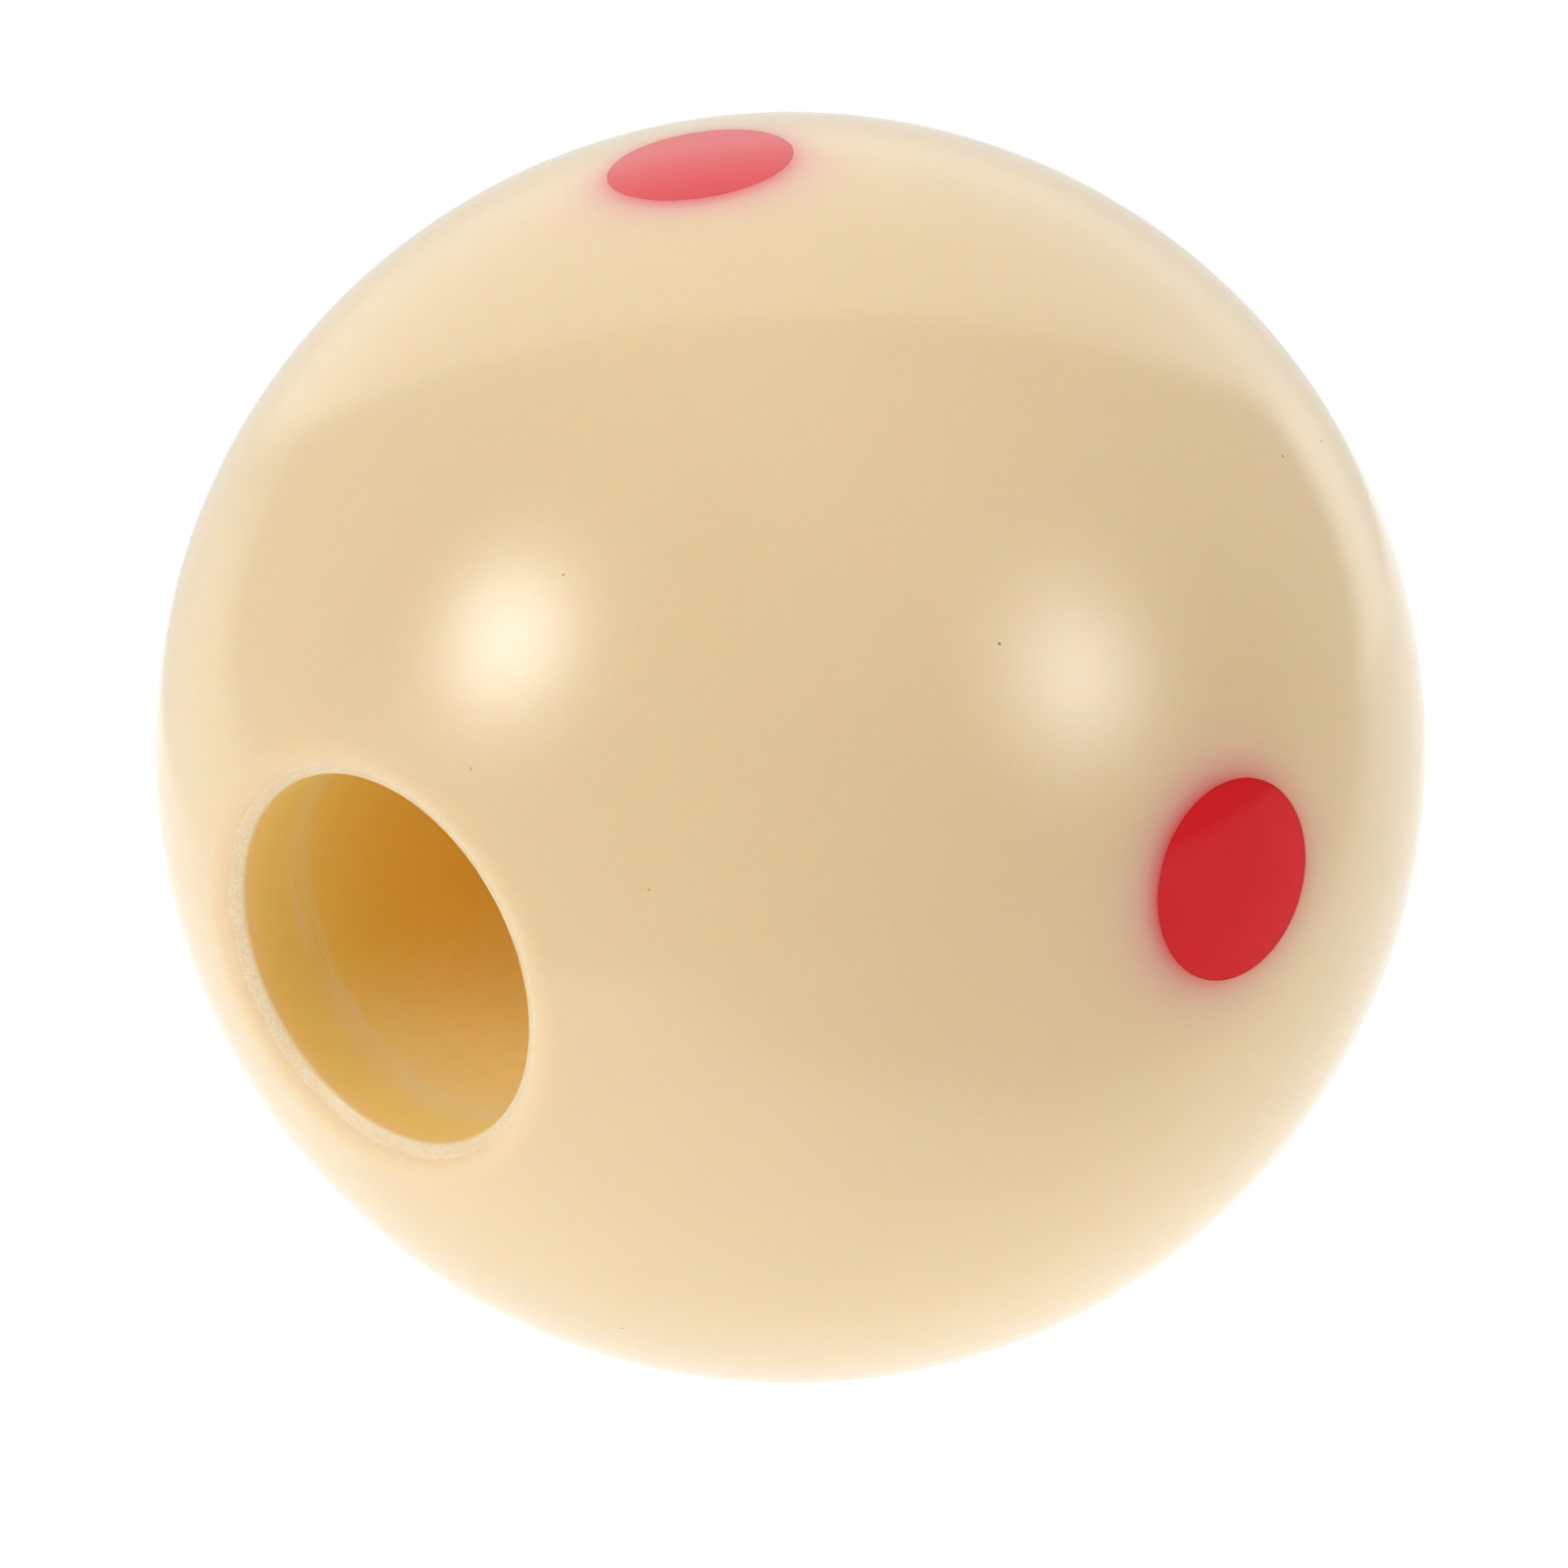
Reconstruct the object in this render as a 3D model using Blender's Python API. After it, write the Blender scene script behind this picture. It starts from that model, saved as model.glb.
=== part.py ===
"""Spotted cue ball with a bore right through it, for practising a cue's stroke.

The ball is one solid casting of ivory resin. A plain bore runs through it from front to back, with a
shallow countersink at each mouth. Four plugs of red resin fill drilled sockets at its top, bottom, left
and right, ground flush with its surface. The bore takes the place of a front and a back spot.

Frame: the origin is the ball's centre, +Z is up, and the bore runs along Y with its front mouth at -Y.
Lengths are in metres and angles in radians.
"""

import math

import bmesh
import bpy
from mathutils import Vector

# The ball and its bore. The countersink's width is measured from the bore's wall to its outer edge.
BALL_DIAMETER = 0.05715
BORE_DIAMETER = 0.0176
COUNTERSINK_WIDTH = 0.0011
COUNTERSINK_ANGLE = math.radians(120)
MOUTH_EDGE_BREAK = 0.00015

# The spots. Their drill leaves a pointed floor in the socket, which the plug follows.
TOP_SPOT_DIAMETER = 0.0084
RIGHT_SPOT_DIAMETER = 0.0092
BOTTOM_SPOT_DIAMETER = 0.0088
LEFT_SPOT_DIAMETER = 0.0088
SPOT_DEPTH = 0.006
DRILL_POINT_ANGLE = math.radians(118)
BOND_GAP = 0.0003

# The right spot sits a little off square with the bore and the top spot, towards the front and down.
RIGHT_SPOT_LEAN_FORWARD = math.radians(2.0)
RIGHT_SPOT_LEAN_DOWN = math.radians(2.0)

# Facets. A multiple of four keeps the ball's full width along X and Z.
BALL_SEGMENTS = 72
BALL_RINGS = 28
SPOT_SEGMENTS = 40
SPOT_RINGS = 4
EDGE_BREAK_SEGMENTS = 2
CREASE_ANGLE = math.radians(25)

# Working allowances of the construction, with no size of their own on the ball.
WELD = 1e-7
CUTTER_OVERSHOOT = 0.002

# Finishes: base colour, roughness and metallic.
IVORY_RESIN = ((0.80, 0.66, 0.40, 1.0), 0.15, 0.0)
RED_RESIN = ((0.62, 0.02, 0.03, 1.0), 0.15, 0.0)

BALL_RADIUS = BALL_DIAMETER / 2
BORE_AXIS = Vector((0, 1, 0))


def clear_scene():
    for obj in list(bpy.data.objects):
        bpy.data.objects.remove(obj, do_unlink=True)


def resin(name, finish):
    """A material with the finish's base colour, roughness and metallic value."""
    color, roughness, metallic = finish
    material = bpy.data.materials.new(name)
    material.use_nodes = True
    shader = material.node_tree.nodes["Principled BSDF"]
    shader.inputs["Base Color"].default_value = color
    shader.inputs["Roughness"].default_value = roughness
    shader.inputs["Metallic"].default_value = metallic
    material.diffuse_color = color
    return material


def arc(radius, start, end, steps):
    """Points (distance from the axis, height along it) on a circle about the origin.

    The angles are measured from the axis, and both ends are included."""
    angles = [start + (end - start) * step / steps for step in range(steps + 1)]
    return [(radius * math.sin(angle), radius * math.cos(angle)) for angle in angles]


def turned_object(name, profile, segments, axis, material=None):
    """Turns a profile about Z into a closed body, and points its Z along the given axis.

    The profile is a list of (distance from the axis, height along it). It either starts and ends on the
    axis, or goes round to its first point again."""
    bm = bmesh.new()
    verts = [bm.verts.new((distance, 0, height)) for distance, height in profile]
    is_ring = all(distance > WELD for distance, height in profile)
    ends = verts[1:] + verts[:1] if is_ring else verts[1:]
    edges = [bm.edges.new(pair) for pair in zip(verts, ends)]
    bmesh.ops.spin(
        bm,
        geom=verts + edges,
        cent=(0, 0, 0),
        axis=(0, 0, 1),
        angle=math.tau,
        steps=segments,
        use_merge=True,
    )
    bmesh.ops.remove_doubles(bm, verts=bm.verts, dist=WELD)
    bmesh.ops.recalc_face_normals(bm, faces=bm.faces)
    mesh = bpy.data.meshes.new(name)
    bm.to_mesh(mesh)
    bm.free()
    mesh.shade_smooth()
    mesh.set_sharp_from_angle(angle=CREASE_ANGLE)

    obj = bpy.data.objects.new(name, mesh)
    obj.rotation_mode = "QUATERNION"
    obj.rotation_quaternion = axis.to_track_quat("Z", "Y")
    bpy.context.scene.collection.objects.link(obj)
    if material:
        mesh.materials.append(material)
    return obj


def plug_profile(diameter, depth, top):
    """A pin with a drill point at its lower end, from its axis at the top down to its tip.

    The depth is that of the straight side below the ball's surface. The top is the outline of the outer
    end, as points from the axis outwards."""
    radius = diameter / 2
    floor = BALL_RADIUS - depth
    tip = floor - radius / math.tan(DRILL_POINT_ANGLE / 2)
    return top + [(radius, floor), (0, tip)]


def make_ball(material):
    """The ball: its round outside, a countersink, the bore's wall and the other countersink."""
    bore_radius = BORE_DIAMETER / 2
    mouth_radius = bore_radius + COUNTERSINK_WIDTH
    mouth_angle = math.asin(mouth_radius / BALL_RADIUS)
    mouth_height = BALL_RADIUS * math.cos(mouth_angle)
    countersink_depth = COUNTERSINK_WIDTH / math.tan(COUNTERSINK_ANGLE / 2)
    wall_end = mouth_height - countersink_depth

    outside = arc(BALL_RADIUS, mouth_angle, math.pi - mouth_angle, BALL_RINGS)
    wall = [(bore_radius, -wall_end), (bore_radius, wall_end)]
    ball = turned_object("ball_body", outside + wall, BALL_SEGMENTS, BORE_AXIS, material)

    edge_break = ball.modifiers.new("mouth_edge_break", "BEVEL")
    edge_break.width = MOUTH_EDGE_BREAK
    edge_break.segments = EDGE_BREAK_SEGMENTS
    edge_break.limit_method = "ANGLE"
    edge_break.angle_limit = CREASE_ANGLE
    return ball


def make_spot(name, diameter, axis, material):
    """A red plug whose outer end follows the ball's surface."""
    rim_angle = math.asin(diameter / 2 / BALL_RADIUS)
    outer_end = arc(BALL_RADIUS, 0, rim_angle, SPOT_RINGS)
    profile = plug_profile(diameter, SPOT_DEPTH, outer_end)
    return turned_object(name, profile, SPOT_SEGMENTS, axis, material)


def cut_socket(ball, name, diameter, axis):
    """Drills the socket that a spot sits in, wider and deeper than the plug by the bond's gap."""
    socket_diameter = diameter + 2 * BOND_GAP
    height = BALL_RADIUS + CUTTER_OVERSHOOT
    outer_end = [(0, height), (socket_diameter / 2, height)]
    profile = plug_profile(socket_diameter, SPOT_DEPTH + BOND_GAP, outer_end)
    cutter = turned_object(name + "_cutter", profile, SPOT_SEGMENTS, axis)
    cutter.hide_render = True
    cutter.display_type = "WIRE"

    cut = ball.modifiers.new(name + "_socket", "BOOLEAN")
    cut.operation = "DIFFERENCE"
    cut.solver = "EXACT"
    cut.object = cutter


def leaning_axis(forward, down):
    """The direction +X, turned by the given angles towards the front (-Y) and down (-Z)."""
    return Vector((1, -math.tan(forward), -math.tan(down))).normalized()


def build():
    clear_scene()
    ivory = resin("ivory_resin", IVORY_RESIN)
    red = resin("red_resin", RED_RESIN)
    spots = {
        "spot_top": (TOP_SPOT_DIAMETER, Vector((0, 0, 1))),
        "spot_bottom": (BOTTOM_SPOT_DIAMETER, Vector((0, 0, -1))),
        "spot_left": (LEFT_SPOT_DIAMETER, Vector((-1, 0, 0))),
        "spot_right": (RIGHT_SPOT_DIAMETER, leaning_axis(RIGHT_SPOT_LEAN_FORWARD, RIGHT_SPOT_LEAN_DOWN)),
    }
    ball = make_ball(ivory)
    for name, (diameter, axis) in spots.items():
        make_spot(name, diameter, axis, red)
        cut_socket(ball, name, diameter, axis)


build()
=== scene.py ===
"""Looks of the bored, spotted cue ball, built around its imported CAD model.

The row frame is kept: the origin is the ball's centre, +Z is up, and the bore runs along Y with its front
mouth at -Y. Lengths are in metres and angles in radians, unless a comment says otherwise.
"""

import math

import bmesh
import bpy
import numpy as np
from mathutils import Matrix, Vector, noise


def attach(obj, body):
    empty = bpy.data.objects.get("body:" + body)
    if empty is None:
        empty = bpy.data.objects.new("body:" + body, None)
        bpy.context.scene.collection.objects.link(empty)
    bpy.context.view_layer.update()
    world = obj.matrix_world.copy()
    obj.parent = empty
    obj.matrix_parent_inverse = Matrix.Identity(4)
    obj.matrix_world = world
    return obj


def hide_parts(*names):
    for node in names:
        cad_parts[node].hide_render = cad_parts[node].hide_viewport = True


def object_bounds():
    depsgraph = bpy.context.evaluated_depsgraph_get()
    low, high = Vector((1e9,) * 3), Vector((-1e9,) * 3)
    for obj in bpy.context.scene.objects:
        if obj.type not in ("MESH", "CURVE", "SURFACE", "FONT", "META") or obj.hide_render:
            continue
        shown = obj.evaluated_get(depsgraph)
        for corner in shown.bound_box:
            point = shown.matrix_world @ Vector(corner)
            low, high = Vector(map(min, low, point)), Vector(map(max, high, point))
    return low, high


MM = 0.001
AXIS_Z = Vector((0, 0, 1))

# Measuring the CAD meshes: points closer than the tolerance count as being in the same place, and a
# countersink lies within this many bore radii of the axis.
TOLERANCE = 0.01 * MM
MOUTH_LIMIT = 1.3

# Camera: where it stands as seen from the ball, how much of the frame the ball fills, and how far the
# ball's centre is from the middle of the frame, in ball radii.
CAMERA_AZIMUTH = math.radians(47.2)
CAMERA_ELEVATION = math.radians(21.64)
CAMERA_ROLL = math.radians(8.8)
CAMERA_RADII_AWAY = 45.0
BALL_SHARE_OF_FRAME = 0.811
BALL_RIGHT_OF_MIDDLE = 0.0099
BALL_ABOVE_MIDDLE = 0.0575
SENSOR_WIDTH = 36.0

# Fine mesh of the ball. The two edge rounds say how far from a corner its curve begins.
BALL_SEGMENTS = 480
SPHERE_RINGS = 96
WALL_RINGS = 16
OUTER_EDGE_ROUND = 0.8 * MM
INNER_EDGE_ROUND = 0.12 * MM
EDGE_STEPS = 10
CONE_STEPS = 12

# Chips along the bore's edge: their depth, how far they reach up the countersink as a share of its
# length, and their sizes as features per metre.
CHIP_DEPTH = 0.035 * MM
CHIP_REACH = 0.6
CHIP_COARSE = 2200
CHIP_FINE = 6500

# Fine mesh of a spot, the seam between it and its socket, and the shape of the drill that cut the socket.
SPOT_SEGMENTS = 160
SPOT_RINGS = 24
SPOT_SIDE_STEPS = 12
SPOT_SEAM = 0.002 * MM
DRILL_POINT_ANGLE = math.radians(118)
CUTTER_OVERRUN = 1 * MM

# Shading: edges sharper than this stay crisp, and points this close to the sphere take its own normals.
CREASE_ANGLE = math.radians(30)
SPHERE_SKIN = 0.002 * MM

# Resin: colours, gloss, and how far light scatters in each (scale, then red, green and blue shares).
IVORY_IOR = 1.55
RED_IOR = 1.47
POLISHED = 0.12
IVORY_LIGHT = (0.87, 0.69, 0.42, 1)
IVORY_DEEP = (0.85, 0.67, 0.395, 1)
# Painted shade: the bore's amber, going from its mouth colour to its deep colour over this depth, stands in
# for the light that bounces down the bore and darkens.
AMBER_MOUTH = (0.97, 0.77, 0.27, 1)
AMBER_SHADED_DEEP = (0.95, 0.68, 0.17, 1)
AMBER_SHADE_DEPTH = 9 * MM
# Painted light: the bore's wall glows with this colour and strength, in place of the light that comes
# through the ball to it.
BORE_PAINTED_GLOW_COLOR = (1.0, 0.40, 0.05, 1)
BORE_PAINTED_GLOW = 0.036
FROST_DULL = (0.86, 0.70, 0.46, 1)
FROST_BRIGHT = (0.93, 0.84, 0.70, 1)
RED_LIGHT = (0.80, 0.002, 0.009, 1)
RED_DEEP = (0.77, 0.001, 0.007, 1)
IVORY_SCATTER = (1.2 * MM, (1.0, 0.6, 0.3))
RED_SCATTER = (0.25 * MM, (1.0, 0.2, 0.1))

# Close to a spot the ivory scatters light less far, so that little of it is lost in the seam: the width of
# that zone, and the scatter's scale at the rim.
RIM_WIDTH = 0.9 * MM
RIM_SCATTER = 0.05 * MM

# The red glow in the ivory round a spot is painted light, in place of red light that scatters out of the
# spot: the shares of red, green and blue that it takes at the spot's rim, and the distances in which they
# fade to about a third. It is weaker on one side of the spot; the strong side faces about towards the main
# camera.
HALO_TAKES = (0.05, 0.92, 0.83)
HALO_FADES = (0.9 * MM, 0.88 * MM, 0.53 * MM)
HALO_WEAK_SIDE = 0.5
HALO_STRONG_SIDE = Vector((1, -1, 0.5))
HALO_SIDE_CHANGE = (-0.1, 0.2)  # ball radii along the strong side's direction

# Specks of dust in the resin.
SPECK_SPACING = 4 * MM
SPECK_RADIUS = 0.09 * MM
SPECK_DARK = (0.10, 0.05, 0.03, 1)
SPECK_ORANGE = (0.75, 0.32, 0.08, 1)
SPECK_STRENGTH = 0.85

# Wear at a mouth, and a pool of lamp light painted low on the bore's wall. Depths run down the bore from its
# edge, and shares are of the countersink's width.
BORE_EDGE = (0.02 * MM, 0.06 * MM)
FROST_SHARE = (0.45, 0.6)
FROST_DEPTH = (1.0 * MM, 1.2 * MM)
FROST_WANDER = (0.25 * MM, -0.12 * MM)
EDGE_FROST_DEPTH = 0.9 * MM
SCRATCH_BAND = (2.4 * MM, 4.3 * MM)
# Painted light low on the bore's wall, where lamp light falls into it: its colour, the side that it lies
# towards with the range over which it comes in, and the depths over which it fades in.
PAINTED_BORE_LIGHT = (0.97, 0.78, 0.40, 1)
PAINTED_BORE_LIGHT_SIDE = (-0.25, 0.0, -0.97)
PAINTED_BORE_LIGHT_HEIGHT = (4.6 * MM, 8.8 * MM)
PAINTED_BORE_LIGHT_DEPTH = (1.0 * MM, 4.0 * MM)

# Sizes of the textures, as features per metre. Three numbers are for X, Y and Z.
IVORY_CLOUDS = 55.0
RED_CLOUDS = 400.0
SMEARS = 140.0
WAVES = 90.0
FROST_EDGE = 900.0
FROST_WEAR = 260.0
GRIT = 7000.0
SCRATCH_STREAKS = (60, 9000, 60)
SCRATCH_SETS = ((0.6, 3.0), (2.1, 11.0))  # turn in radians, seed
SCRATCH_PATCHES = 70.0
BAND_STREAKS = (350, 6000, 350)
# Streaks that break up the painted light in the bore.
PAINTED_BORE_LIGHT_STREAKS = (1200, 1200, 9000)
TOOL_RINGS = (60, 7000, 60)

# Heights of the relief.
WAVE_HEIGHT = 0.004 * MM
RING_HEIGHT = 0.006 * MM
GRIT_HEIGHT = 0.03 * MM

# Light, as radiance from each direction. A direction is given by its angle from the line back to the
# main camera and its turn round that line from that camera's right, in degrees.
TENT_WALL = 0.44
TENT_PATCHES = (  # angle, turn, half-width, softness of the edge, radiance
    (135, 195, 28, 10, 1.0),
    (140, 0, 30, 12, 1.45),
    (75, 192, 22, 10, 0.78),
    (100, 155, 28, 3, 0.38),
    (105, 26, 28, 4, 0.40),
    (80, 5, 24, 1.5, 0.28),
    (127, 92, 42, 2.5, 1.27),
    (180, 0, 30, 8, 0.85),
)
LAMPS = (  # angle, turn, spread, radiance
    (56, 159, 9, 8.2),
    (55, 14, 10, 5.3),
)
BACKDROP = 1.15

# Floor: the level that the camera sees, and the levels that light the ball, from the floor round it and
# from the dimmer part that begins at a distance from the ball on one side.
FLOOR_RADIUS = 0.13
FLOOR_THICKNESS = 4 * MM
FLOOR_COLOR = (0.15, 0.15, 0.15, 1)
FLOOR_SHOWN = 0.95
FLOOR_GLOW = 0.92
FLOOR_DIM = 0.34
DIM_SIDE = (1.0, 0.0, 0.0)
DIM_START = 32 * MM
DIM_END = 50 * MM

SPOT_NODES = ("spot_top", "spot_bottom", "spot_left", "spot_right")


# Frame measures


def mesh_points(node):
    return [vertex.co.copy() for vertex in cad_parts[node].data.vertices]


def distance_from_bore_axis(point):
    return math.hypot(point.x, point.z)


def measure_mouth():
    """The front countersink's two sharp corners, as (distance from the bore's axis, height along it).

    The CAD model breaks both corners by a small bevel. The corners themselves lie where the cone's line
    meets the sphere and the bore's wall."""
    points = [(distance_from_bore_axis(p), -p.y) for p in mesh_points("ball_body") if p.y < 0]
    bore = min(distance for distance, height in points)
    limit = MOUTH_LIMIT * bore
    under_surface = [(d, h) for d, h in points if d < limit and math.hypot(d, h) < ball_radius - TOLERANCE]
    near = sorted({(round(d, 6), round(h, 6)) for d, h in under_surface})
    wall_end = max(height for distance, height in near if distance < bore + TOLERANCE)
    cone = [(d, h) for d, h in near if h > wall_end + TOLERANCE]
    slope_start, slope_end = longest_gap(cone)
    slope = (slope_end[1] - slope_start[1]) / (slope_end[0] - slope_start[0])
    inner = (bore, slope_start[1] + slope * (bore - slope_start[0]))
    outer_distance = slope_end[0]
    for _ in range(30):
        height = slope_start[1] + slope * (outer_distance - slope_start[0])
        outer_distance += (ball_radius - math.hypot(outer_distance, height)) / 2
    outer = (outer_distance, slope_start[1] + slope * (outer_distance - slope_start[0]))
    return inner, outer


def longest_gap(points):
    """The two neighbours in a row of points that are furthest apart: the ends of its longest side."""
    pairs = zip(points, points[1:])
    return max(pairs, key=lambda pair: math.dist(pair[0], pair[1]))


def measure_spot(node):
    """A spot's axis, its radius and its depth below the ball's surface, from its CAD solid."""
    points = mesh_points(node)
    outer_face = [p for p in points if abs(p.length - ball_radius) < TOLERANCE]
    axis = sum(outer_face, Vector()).normalized()
    radius = max((p - axis * p.dot(axis)).length for p in points)
    depth = ball_radius - min(p.dot(axis) for p in points)
    return axis, radius, depth


# Mesh building


def arc(radius, start, end, steps):
    """Points (distance from the axis, height) on a circle about the origin, at angles from the axis."""
    angles = np.linspace(start, end, steps + 1)
    return [(radius * math.sin(angle), radius * math.cos(angle)) for angle in angles]


def line(start, end, steps):
    """Points from start to end, without the end."""
    return [tuple(np.array(start) + (np.array(end) - np.array(start)) * t) for t in np.arange(steps) / steps]


def rounded_corner(start, corner, end, steps):
    """A curve from start to end that is tangent to the two sides meeting at the corner, without its end."""
    curve = []
    for t in np.arange(steps) / steps:
        weights = ((1 - t) ** 2, 2 * t * (1 - t), t ** 2)
        curve.append(tuple(sum(w * np.array(p) for w, p in zip(weights, (start, corner, end)))))
    return curve


def towards(start, end, distance):
    """The point at a distance from start on the way to end."""
    return tuple(np.array(start) + (np.array(end) - np.array(start)) * distance / math.dist(start, end))


def turned_mesh(name, profile, segments, closed):
    """Turns (distance from the axis, height) points about Z. A closed profile goes round to its start."""
    profile = np.array(profile)
    count = len(profile)
    turns = np.arange(segments) * (math.tau / segments)
    x = np.outer(np.cos(turns), profile[:, 0])
    y = np.outer(np.sin(turns), profile[:, 0])
    z = np.outer(np.ones(segments), profile[:, 1])
    vertices = np.stack([x, y, z], axis=-1).reshape(-1, 3)

    steps = np.arange(count if closed else count - 1)
    here = np.arange(segments)[:, None] * count
    there = (np.arange(segments)[:, None] + 1) % segments * count
    next_steps = (steps + 1) % count
    quads = np.stack([here + steps, here + next_steps, there + next_steps, there + steps], axis=-1)
    mesh = bpy.data.meshes.new(name)
    mesh.from_pydata(vertices.tolist(), [], quads.reshape(-1, 4).tolist())
    mesh.update()
    return mesh


def object_of(mesh, name):
    obj = bpy.data.objects.new(name, mesh)
    bpy.context.scene.collection.objects.link(obj)
    return obj


def bake_modifiers(obj):
    """Puts the mesh that the modifiers make in the object's own mesh."""
    evaluated = obj.evaluated_get(bpy.context.evaluated_depsgraph_get())
    mesh = bpy.data.meshes.new_from_object(evaluated)
    obj.modifiers.clear()
    obj.data = mesh


def weld(mesh):
    """Joins points that coincide, such as those that a turned profile leaves on its axis."""
    bm = bmesh.new()
    bm.from_mesh(mesh)
    bmesh.ops.remove_doubles(bm, verts=bm.verts, dist=0.0001 * MM)
    bm.to_mesh(mesh)
    bm.free()


def shade_true(mesh):
    """Smooth shading, with the sphere's own normals on the ball's surface, so that no cut in it shows."""
    mesh.shade_smooth()
    mesh.set_sharp_from_angle(angle=CREASE_ANGLE)
    points = np.empty(len(mesh.vertices) * 3, np.float32)
    mesh.vertices.foreach_get("co", points)
    points = points.reshape(-1, 3)
    lengths = np.linalg.norm(points, axis=1)
    on_sphere = np.abs(lengths - ball_radius) < SPHERE_SKIN
    corner_vertices = np.empty(len(mesh.loops), np.int32)
    mesh.loops.foreach_get("vertex_index", corner_vertices)
    normals = np.empty(len(mesh.loops) * 3, np.float32)
    mesh.corner_normals.foreach_get("vector", normals)
    normals = normals.reshape(-1, 3)
    for face in mesh.polygons:
        corners = slice(face.loop_start, face.loop_start + face.loop_total)
        owners = corner_vertices[corners]
        if on_sphere[owners].all():
            normals[corners] = points[owners] / lengths[owners][:, None]
    mesh.normals_split_custom_set(normals.tolist())


# The pieces


def mouth_curve(inner, outer):
    """The countersink's outline from the ball's surface to the bore's wall, with both corners rounded."""
    start_angle = math.asin(outer[0] / ball_radius) + OUTER_EDGE_ROUND / ball_radius
    start = (ball_radius * math.sin(start_angle), ball_radius * math.cos(start_angle))
    cone_start = towards(outer, inner, OUTER_EDGE_ROUND)
    cone_end = towards(inner, outer, INNER_EDGE_ROUND)
    wall_start = (inner[0], inner[1] - INNER_EDGE_ROUND)
    curve = rounded_corner(start, outer, cone_start, EDGE_STEPS)
    curve += line(cone_start, cone_end, CONE_STEPS)
    curve += rounded_corner(cone_end, inner, wall_start, EDGE_STEPS)
    return start_angle, curve + [wall_start]


def chip_mouths(mesh, inner, outer):
    """Roughens the inner half of each countersink and nicks the bore's edge."""
    cone_length = math.dist(inner, outer)
    for vertex in mesh.vertices:
        point = vertex.co
        place = (math.hypot(point.x, point.y), abs(point.z))
        near_edge = 1 - math.dist(place, inner) / (CHIP_REACH * cone_length)
        if near_edge <= 0:
            continue
        coarse = noise.noise(point * CHIP_COARSE)
        fine = noise.noise(point * CHIP_FINE + Vector((7, 3, 1)))
        depth = max(0.0, coarse) + 0.6 * max(0.0, fine)
        vertex.co = point * (1 - min(1.0, 2 * near_edge) * CHIP_DEPTH * depth / point.length)


def plug_mesh(name, axis, radius, depth, is_cutter=False):
    """A pin with a drill point, along the axis, whose outer end is the ball's surface.

    A cutter runs on past the surface. The plug is turned by part of a segment, so that none of its edges
    lies along one of the ball's."""
    rim_angle = math.asin(radius / ball_radius)
    floor = ball_radius - depth + radius / math.tan(DRILL_POINT_ANGLE / 2)
    if is_cutter:
        end = ball_radius + CUTTER_OVERRUN
        top = [(0, end), (radius, end)]
    else:
        top = arc(ball_radius, 0, rim_angle, SPOT_RINGS)
    side = line(top[-1], (radius, floor), SPOT_SIDE_STEPS)[1:]
    profile = top + side + [(radius, floor), (0, ball_radius - depth)]
    mesh = turned_mesh(name, profile, SPOT_SEGMENTS, closed=False)
    weld(mesh)
    part_turn = Matrix.Rotation(0.3 * math.tau / SPOT_SEGMENTS, 4, "Z")
    mesh.transform(axis.to_track_quat("Z", "Y").to_matrix().to_4x4() @ part_turn)
    return mesh


def make_ball(spots, inner, outer, material):
    start_angle, mouth = mouth_curve(inner, outer)
    outside = arc(ball_radius, start_angle, math.pi - start_angle, SPHERE_RINGS)[:-1]
    back_mouth = [(distance, -height) for distance, height in mouth]
    front_mouth = mouth[::-1]
    wall = line(back_mouth[-1], front_mouth[0], WALL_RINGS)[1:]
    profile = outside + back_mouth + wall + front_mouth[:-1]
    mesh = turned_mesh("resin_ball", profile, BALL_SEGMENTS, closed=True)
    chip_mouths(mesh, inner, outer)
    mesh.transform(Matrix.Rotation(math.pi / 2, 4, "X"))
    ball = object_of(mesh, "resin_ball")
    for name, (axis, radius, depth) in spots.items():
        socket = name + "_socket"
        cutter = plug_mesh(socket, axis, radius + SPOT_SEAM, depth + SPOT_SEAM, is_cutter=True)
        cut = ball.modifiers.new(name, "BOOLEAN")
        cut.operation = "DIFFERENCE"
        cut.solver = "EXACT"
        cut.object = object_of(cutter, socket)
    bake_modifiers(ball)
    for name in spots:
        bpy.data.objects.remove(bpy.data.objects[name + "_socket"])
    weld(ball.data)
    shade_true(ball.data)
    ball.data.materials.append(material)
    return ball


def make_spot(name, axis, radius, depth, material):
    spot = object_of(plug_mesh(name, axis, radius, depth), name)
    shade_true(spot.data)
    spot.data.materials.append(material)
    return spot


# Materials


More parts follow.
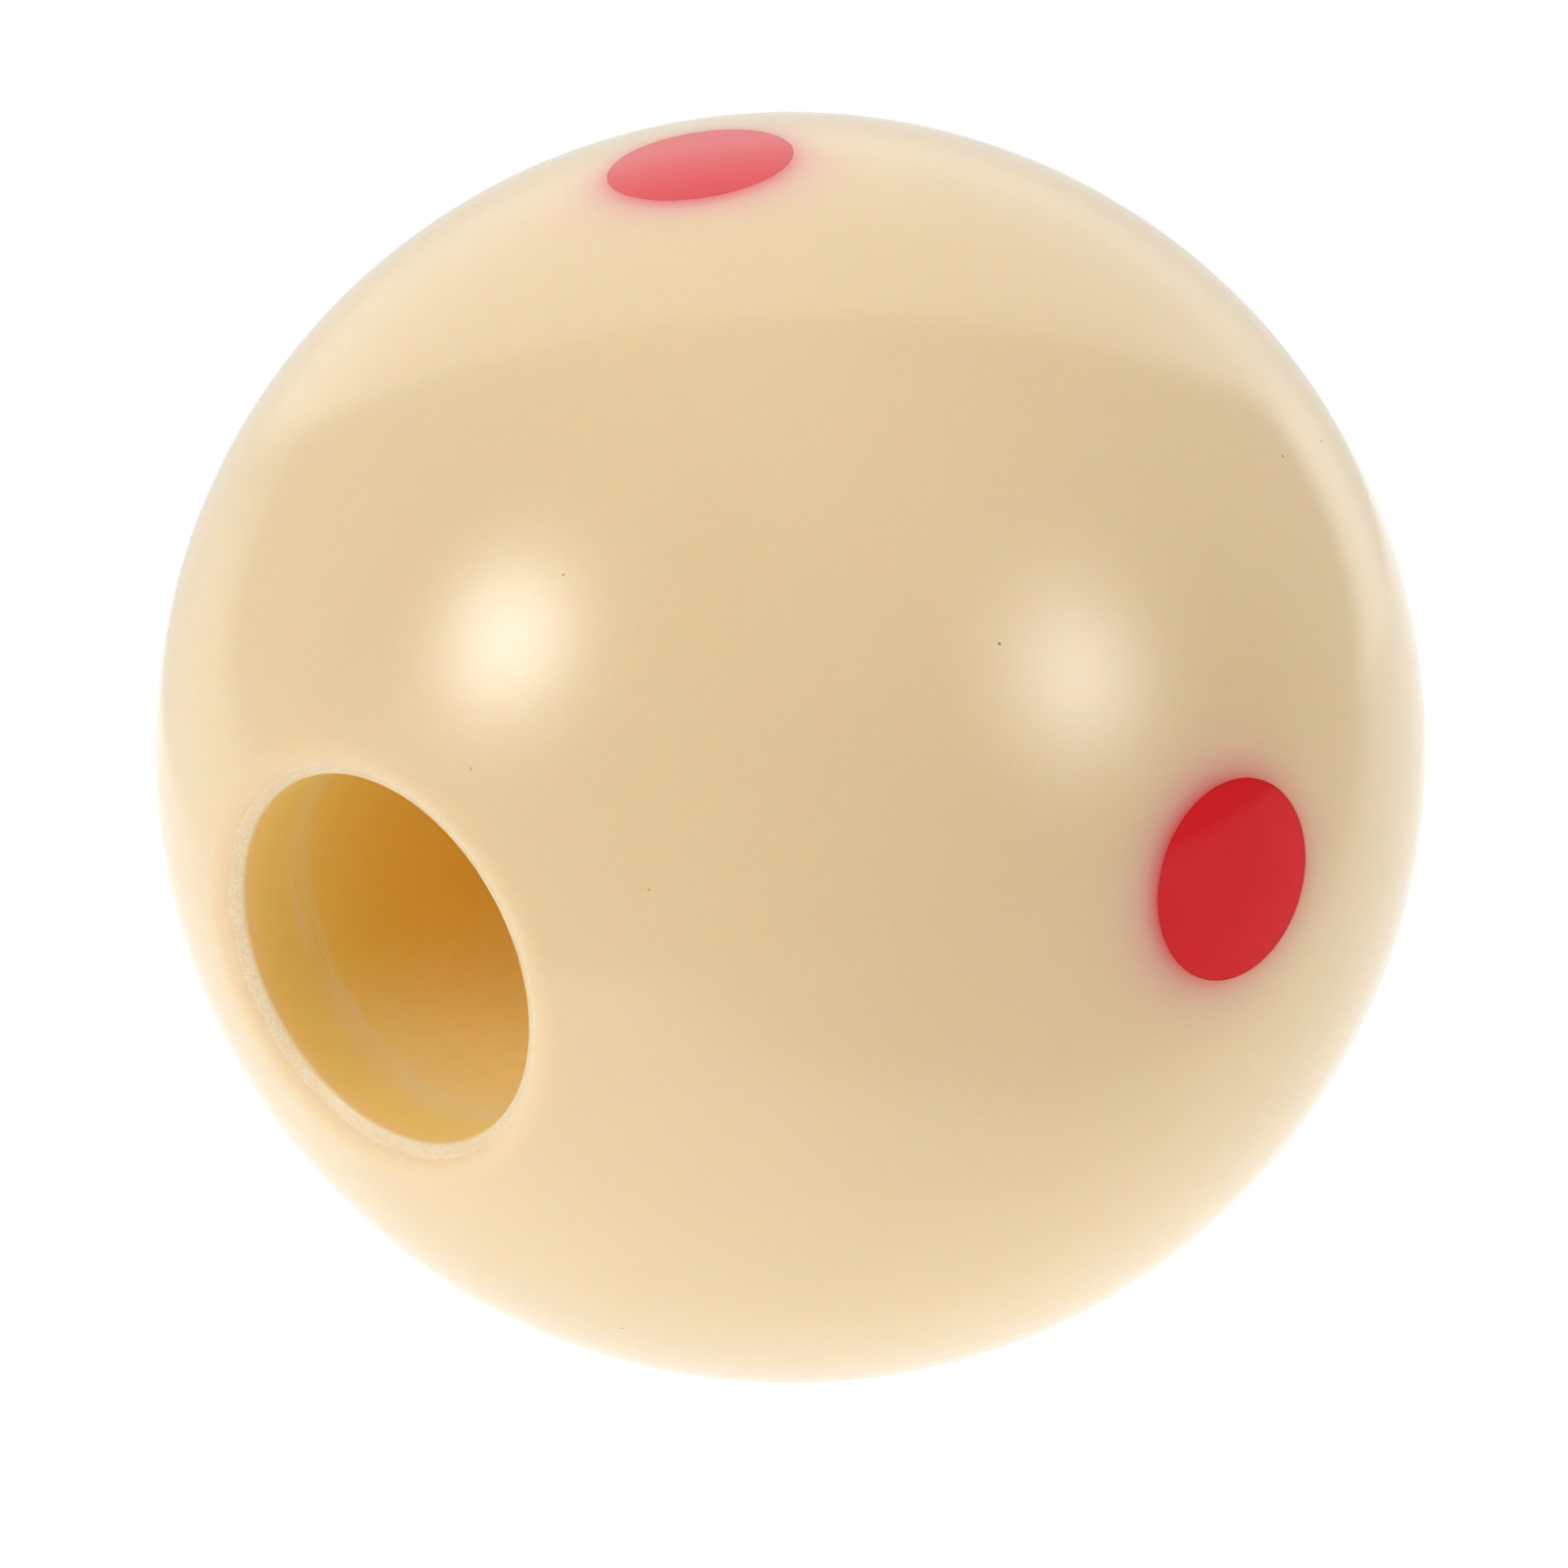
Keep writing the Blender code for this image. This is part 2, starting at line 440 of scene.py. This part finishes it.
class Graph:
    """Builds a node tree with short calls. A value is a number, a tuple or another node's output."""

    def __init__(self, tree):
        self.tree = tree
        tree.nodes.clear()

    def add(self, kind, inputs=None, output=0, **settings):
        node = self.tree.nodes.new(kind)
        for name, value in settings.items():
            setattr(node, name, value)
        for name, value in (inputs or {}).items():
            if isinstance(value, bpy.types.NodeSocket):
                self.tree.links.new(value, node.inputs[name])
            else:
                node.inputs[name].default_value = value
        return node.outputs[output] if node.outputs else None

    def math(self, operation, *values, clamp=False):
        return self.add("ShaderNodeMath", dict(enumerate(values)), operation=operation, use_clamp=clamp)

    def vector(self, operation, *values):
        output = 1 if operation in ("DOT_PRODUCT", "LENGTH", "DISTANCE") else 0
        return self.add("ShaderNodeVectorMath", dict(enumerate(values)), output, operation=operation)

    def mix(self, factor, first, second, blend="MIX"):
        """A colour between the first and the second, as the factor goes from 0 to 1."""
        inputs = {0: factor, 6: first, 7: second}
        return self.add("ShaderNodeMix", inputs, 2, data_type="RGBA", blend_type=blend)

    def step(self, value, start, end, low=0.0, high=1.0):
        """Goes smoothly from low to high as the value goes from start to end."""
        inputs = {"Value": value, "From Min": start, "From Max": end, "To Min": low, "To Max": high}
        return self.add("ShaderNodeMapRange", inputs, interpolation_type="SMOOTHSTEP")

    def mix_values(self, factor, first, second):
        """A number between the first and the second, as the factor goes from 0 to 1."""
        return self.add("ShaderNodeMix", {0: factor, 2: first, 3: second}, data_type="FLOAT")

    def noise(self, place, scale, detail, roughness=0.5):
        inputs = {"Vector": place, "Scale": scale, "Detail": detail, "Roughness": roughness}
        return self.add("ShaderNodeTexNoise", inputs)

    def bump(self, height, distance, normal=None):
        inputs = {"Height": height, "Distance": distance, "Strength": 1.0}
        if normal:
            inputs["Normal"] = normal
        return self.add("ShaderNodeBump", inputs)

    def place(self):
        """The point on the piece, in its own space, which is the row frame at rest."""
        return self.add("ShaderNodeTexCoord", output=3)


def resin_shader(graph, color, roughness, normal, ior, subsurface, glow=None):
    """Polished cast resin: light scatters a little way into it under a clear gloss.

    The glow is painted light: an emission in place of the light that comes through the ball to the bore's
    wall."""
    scale, radius = subsurface
    inputs = {
        "Base Color": color,
        "Roughness": roughness,
        "Normal": normal,
        "IOR": ior,
        "Subsurface Weight": 1.0,
        "Subsurface Radius": radius,
        "Subsurface Scale": scale,
    }
    if glow:
        inputs.update({"Emission Color": BORE_PAINTED_GLOW_COLOR, "Emission Strength": glow})
    shader = graph.add("ShaderNodeBsdfPrincipled", inputs, subsurface_method="RANDOM_WALK")
    graph.add("ShaderNodeOutputMaterial", {"Surface": shader})


def new_material(name):
    material = bpy.data.materials.new(name)
    material.use_nodes = True
    return material, Graph(material.node_tree)


def add_halos(graph, place, spots, color):
    """Paints a red glow round each spot: takes green, blue and a little red out of the ivory there.

    Gives the new colour and the distance to the nearest spot's rim."""
    direction = graph.vector("NORMALIZE", place)
    nearest_rim = ball_radius
    for axis, radius, _ in spots.values():
        cosine = graph.vector("DOT_PRODUCT", direction, tuple(axis))
        angle = graph.math("ARCCOSINE", cosine)
        beyond_rim = graph.math("MULTIPLY_ADD", angle, ball_radius, -radius)
        beyond_rim = graph.math("MAXIMUM", beyond_rim, 0.0)
        nearest_rim = graph.math("MINIMUM", nearest_rim, beyond_rim)
        side = (HALO_STRONG_SIDE - axis * HALO_STRONG_SIDE.dot(axis)).normalized()
        towards_side = graph.vector("DOT_PRODUCT", direction, tuple(side))
        strength = graph.step(towards_side, *HALO_SIDE_CHANGE, HALO_WEAK_SIDE, 1.0)
        left = []
        for taken, fade in zip(HALO_TAKES, HALO_FADES):
            share = graph.math("EXPONENT", graph.math("MULTIPLY", beyond_rim, -1 / fade))
            share = graph.math("MULTIPLY", share, strength)
            left.append(graph.math("MULTIPLY_ADD", share, -taken, 1.0))
        filtered = graph.add("ShaderNodeCombineColor", dict(enumerate(left)))
        color = graph.mix(1.0, color, filtered, "MULTIPLY")
    return color, nearest_rim


def add_specks(graph, place, color):
    """Sparse specks of dust cast in the resin."""
    cells = {"Vector": place, "Scale": 1 / SPECK_SPACING}
    distance = graph.add("ShaderNodeTexVoronoi", cells)
    tint = graph.add("ShaderNodeTexVoronoi", cells, output=1)
    speck_radius = SPECK_RADIUS / SPECK_SPACING
    speck = graph.step(distance, 0.5 * speck_radius, speck_radius, SPECK_STRENGTH, 0.0)
    is_orange = graph.step(graph.add("ShaderNodeSeparateColor", {0: tint}), 0.6, 0.62)
    speck_color = graph.mix(is_orange, SPECK_DARK, SPECK_ORANGE)
    return graph.mix(speck, color, speck_color)


def scratches(graph, place):
    """Long, thin, faint marks that cross each other here and there, from 0 to 1."""
    marks = []
    for turn, seed in SCRATCH_SETS:
        inputs = {"Vector": place, "Rotation": (turn, 0.4 * turn, turn)}
        turned = graph.add("ShaderNodeVectorRotate", inputs, rotation_type="EULER_XYZ")
        stretched = graph.vector("MULTIPLY", turned, SCRATCH_STREAKS)
        moved = graph.vector("ADD", stretched, (seed, seed, seed))
        streaks = graph.noise(moved, 1.0, 0.0)
        marks.append(graph.step(streaks, 0.77, 0.83))
    patches = graph.step(graph.noise(place, SCRATCH_PATCHES, 1.0), 0.5, 0.62)
    return graph.math("MULTIPLY", graph.math("MAXIMUM", marks[0], marks[1]), patches)


def polish_roughness(graph, place):
    """A high polish with faint smears."""
    smears = graph.noise(place, SMEARS, 4.0)
    return graph.step(smears, 0.35, 0.75, POLISHED - 0.01, POLISHED + 0.02)


def polish_waves(graph, place):
    """The faint waviness that polishing leaves, as a normal."""
    return graph.bump(graph.noise(place, WAVES, 2.0), WAVE_HEIGHT)


def mouth_regions(graph, place, inner, outer):
    """Where the bore's wall is, how deep in the bore a point is, and where its scratches and frost are."""
    height = graph.math("ABSOLUTE", graph.vector("DOT_PRODUCT", place, (0, 1, 0)))
    from_axis = graph.vector("LENGTH", graph.vector("MULTIPLY", place, (1, 0, 1)))
    in_bore = graph.step(from_axis, inner[0] + BORE_EDGE[0], inner[0] + BORE_EDGE[1], 1.0, 0.0)
    depth = graph.math("SUBTRACT", inner[1], height)

    # The frost covers the inner half of the countersink, up to a ragged line.
    width = outer[0] - inner[0]
    edge = graph.noise(place, FROST_EDGE, 2.0)
    ragged = graph.math("ADD", from_axis, graph.math("MULTIPLY_ADD", edge, *FROST_WANDER))
    frost_ends = [inner[0] + share * width for share in FROST_SHARE]
    near_bore = graph.step(ragged, *frost_ends, 1.0, 0.0)
    worn = graph.step(graph.noise(place, FROST_WEAR, 2.0), 0.35, 0.6, 0.45, 1.0)
    near_bore = graph.math("MULTIPLY", near_bore, worn)
    near_mouth = graph.step(depth, *FROST_DEPTH, 1.0, 0.0)
    frosted = graph.math("SUBTRACT", graph.math("MULTIPLY", near_bore, near_mouth), in_bore, clamp=True)

    # The scratches fade in slowly down the bore and end at a sharp line.
    band_start = graph.step(depth, SCRATCH_BAND[0], SCRATCH_BAND[0] + 0.8 * MM)
    band_end = graph.step(depth, SCRATCH_BAND[1] - 0.05 * MM, SCRATCH_BAND[1], 1.0, 0.0)
    band = graph.math("MULTIPLY", graph.math("MULTIPLY", band_start, band_end), in_bore)
    streaks = graph.noise(graph.vector("MULTIPLY", place, BAND_STREAKS), 1.0, 3.0, 0.7)
    marks = graph.math("MULTIPLY", graph.step(streaks, 0.4, 0.6), band)
    return in_bore, depth, marks, frosted


def bore_color(graph, place, depth, marks):
    """Amber that deepens inwards as painted shade, with painted lamp light low on the wall, scratches and a
    frosted edge.
    """
    # Painted shade: the amber deepens and darkens inwards in place of the light that bounces down the bore.
    amber = graph.mix(graph.step(depth, 0.0, AMBER_SHADE_DEPTH), AMBER_MOUTH, AMBER_SHADED_DEEP)
    # Painted light: a lighter patch low on the wall where lamp light falls in, broken up by streaks.
    painted_light = graph.step(graph.vector("DOT_PRODUCT", place, PAINTED_BORE_LIGHT_SIDE), *PAINTED_BORE_LIGHT_HEIGHT)
    painted_light = graph.math("MULTIPLY", painted_light, graph.step(depth, *PAINTED_BORE_LIGHT_DEPTH))
    light_streaks = graph.noise(graph.vector("MULTIPLY", place, PAINTED_BORE_LIGHT_STREAKS), 1.0, 2.0)
    light_streaks = graph.step(light_streaks, 0.3, 0.7, 0.6, 1.0)
    amber = graph.mix(graph.math("MULTIPLY", painted_light, light_streaks), amber, PAINTED_BORE_LIGHT)
    amber = graph.mix(graph.math("MULTIPLY", marks, 0.45), amber, FROST_BRIGHT)
    edge_frost = graph.step(depth, 0.0, EDGE_FROST_DEPTH, 0.75, 0.0)
    return graph.mix(edge_frost, amber, FROST_DULL)


def make_ivory(spots, inner, outer):
    material, graph = new_material("ivory_resin_look")
    place = graph.place()
    in_bore, depth, marks, frosted = mouth_regions(graph, place, inner, outer)

    # Colour: two close ivory tones in soft clouds, specks, a painted red glow round the spots, amber in the
    # bore with painted shade and painted lamp light, frost.
    clouds = graph.noise(place, IVORY_CLOUDS, 2.0)
    color = graph.mix(graph.step(clouds, 0.3, 0.7), IVORY_LIGHT, IVORY_DEEP)
    color = add_specks(graph, place, color)
    color, nearest_rim = add_halos(graph, place, spots, color)
    scatter = graph.step(nearest_rim, 0.0, RIM_WIDTH, RIM_SCATTER, IVORY_SCATTER[0])
    color = graph.mix(in_bore, color, bore_color(graph, place, depth, marks))
    grit = graph.noise(place, GRIT, 2.0)
    frost_color = graph.mix(graph.step(grit, 0.45, 0.62), FROST_DULL, FROST_BRIGHT)
    color = graph.mix(graph.math("MULTIPLY", frosted, 0.7), color, frost_color)

    # Gloss: polished outside with faint scratches, satin in the bore, matt frost.
    scratched = graph.math("MULTIPLY_ADD", scratches(graph, place), 0.1, polish_roughness(graph, place))
    rings = graph.noise(graph.vector("MULTIPLY", place, TOOL_RINGS), 1.0, 3.0, 0.7)
    satin = graph.step(rings, 0.3, 0.7, 0.28, 0.38)
    roughness = graph.mix_values(in_bore, scratched, satin)
    roughness = graph.mix_values(frosted, roughness, 0.5)

    # Relief: a faint waviness of the polish, tool rings in the bore, grit on the frost.
    normal = polish_waves(graph, place)
    normal = graph.bump(graph.math("MULTIPLY", rings, in_bore), RING_HEIGHT, normal)
    normal = graph.bump(graph.math("MULTIPLY", grit, frosted), GRIT_HEIGHT, normal)
    # Painted light: the bore's wall glows, in place of the light that comes through the ball to it.
    glow = graph.math("MULTIPLY", in_bore, BORE_PAINTED_GLOW)
    resin_shader(graph, color, roughness, normal, IVORY_IOR, (scatter, IVORY_SCATTER[1]), glow)
    return material


def make_red():
    material, graph = new_material("red_resin_look")
    place = graph.place()
    clouds = graph.noise(place, RED_CLOUDS, 3.0)
    color = graph.mix(graph.step(clouds, 0.3, 0.7), RED_LIGHT, RED_DEEP)
    roughness = polish_roughness(graph, place)
    resin_shader(graph, color, roughness, polish_waves(graph, place), RED_IOR, RED_SCATTER)
    return material


# Camera, floor and light


def camera_axes():
    """The camera's right, its up, and the direction back towards it from the ball."""
    cos_elevation = math.cos(CAMERA_ELEVATION)
    back = Vector((
        math.sin(CAMERA_AZIMUTH) * cos_elevation,
        -math.cos(CAMERA_AZIMUTH) * cos_elevation,
        math.sin(CAMERA_ELEVATION),
    ))
    level_up = (AXIS_Z - back * back.z).normalized()
    level_right = level_up.cross(back)
    up = level_up * math.cos(CAMERA_ROLL) + level_right * math.sin(CAMERA_ROLL)
    return up.cross(back), up, back


def make_camera():
    right, up, back = camera_axes()
    camera = bpy.data.cameras.new("camera")
    half_angle = math.asin(1 / CAMERA_RADII_AWAY)
    camera.sensor_width = SENSOR_WIDTH
    camera.lens = SENSOR_WIDTH * BALL_SHARE_OF_FRAME / 2 / math.tan(half_angle)
    camera.clip_start = 0.01
    camera.clip_end = 20.0
    obj = bpy.data.objects.new("camera", camera)
    middle = -ball_radius * (right * BALL_RIGHT_OF_MIDDLE + up * BALL_ABOVE_MIDDLE)
    turn = Matrix((right, up, back)).transposed()
    obj.matrix_world = Matrix.Translation(middle + back * CAMERA_RADII_AWAY * ball_radius) @ turn.to_4x4()
    bpy.context.scene.collection.objects.link(obj)
    bpy.context.scene.camera = obj


def make_floor():
    """A white table top that glows, at one level for the camera and at lower ones for the ball."""
    under = -FLOOR_THICKNESS
    profile = [(0, 0), (FLOOR_RADIUS / 2, 0), (FLOOR_RADIUS, 0), (FLOOR_RADIUS, under), (0, under)]
    mesh = turned_mesh("floor", profile, 96, closed=False)
    weld(mesh)
    floor = object_of(mesh, "floor")
    floor.location.z = -ball_radius
    material, graph = new_material("white_table")
    seen_by_camera = graph.add("ShaderNodeLightPath")
    to_side = graph.vector("DOT_PRODUCT", graph.place(), DIM_SIDE)
    glow = graph.step(to_side, DIM_START, DIM_END, FLOOR_GLOW, FLOOR_DIM)
    inputs = {
        "Base Color": FLOOR_COLOR,
        "Roughness": 0.6,
        "Emission Color": (1, 1, 1, 1),
        "Emission Strength": graph.mix_values(seen_by_camera, glow, FLOOR_SHOWN),
    }
    graph.add("ShaderNodeOutputMaterial", {"Surface": graph.add("ShaderNodeBsdfPrincipled", inputs)})
    mesh.materials.append(material)


def view_direction(polar, around):
    """A direction at an angle from the one back to the camera, turned round it from the camera's right."""
    right, up, back = camera_axes()
    polar, around = math.radians(polar), math.radians(around)
    sideways = right * math.cos(around) + up * math.sin(around)
    return back * math.cos(polar) + sideways * math.sin(polar)


def make_light():
    """A white light tent: its wall, brighter and darker patches of it, and two lamps."""
    world = bpy.data.worlds.new("light_tent")
    world.use_nodes = True
    bpy.context.scene.world = world
    graph = Graph(world.node_tree)
    direction = graph.vector("NORMALIZE", graph.add("ShaderNodeTexCoord", output=0))

    radiance = TENT_WALL
    for polar, around, half_angle, soft, level in TENT_PATCHES:
        cosine = graph.vector("DOT_PRODUCT", direction, tuple(view_direction(polar, around)))
        outside = math.cos(math.radians(half_angle + soft))
        inside = math.cos(math.radians(half_angle - soft))
        radiance = graph.mix_values(graph.step(cosine, outside, inside), radiance, level)
    for polar, around, spread, level in LAMPS:
        cosine = graph.vector("DOT_PRODUCT", direction, tuple(view_direction(polar, around)))
        sharpness = 1 / math.radians(spread) ** 2
        glow = graph.math("EXPONENT", graph.math("MULTIPLY_ADD", cosine, sharpness, -sharpness))
        radiance = graph.math("MULTIPLY_ADD", glow, level, radiance)
    light = graph.add("ShaderNodeBackground", {"Color": (1, 1, 1, 1), "Strength": radiance})
    backdrop = graph.add("ShaderNodeBackground", {"Color": (1, 1, 1, 1), "Strength": BACKDROP})
    seen_by_camera = graph.add("ShaderNodeLightPath")
    shown = graph.add("ShaderNodeMixShader", {0: seen_by_camera, 1: light, 2: backdrop})
    graph.add("ShaderNodeOutputWorld", {"Surface": shown})


# Assembly

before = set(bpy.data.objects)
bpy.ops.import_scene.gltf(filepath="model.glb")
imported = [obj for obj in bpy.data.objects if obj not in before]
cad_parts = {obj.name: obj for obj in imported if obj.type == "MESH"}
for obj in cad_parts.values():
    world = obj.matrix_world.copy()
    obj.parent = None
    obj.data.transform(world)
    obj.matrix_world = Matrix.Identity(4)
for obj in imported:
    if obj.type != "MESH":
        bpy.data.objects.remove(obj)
cad_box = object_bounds()
ball_radius = cad_box[1].z

make_camera()
spot_sizes = {"red_" + node: measure_spot(node) for node in SPOT_NODES}
inner_corner, outer_corner = measure_mouth()
ivory = make_ivory(spot_sizes, inner_corner, outer_corner)
red = make_red()
ball = make_ball(spot_sizes, inner_corner, outer_corner, ivory)
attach(ball, "root")
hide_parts("ball_body")
for node in SPOT_NODES:
    piece = make_spot("red_" + node, *spot_sizes["red_" + node], red)
    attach(piece, "root")
    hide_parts(node)
make_floor()
make_light()
bpy.context.scene.view_settings.view_transform = "Standard"
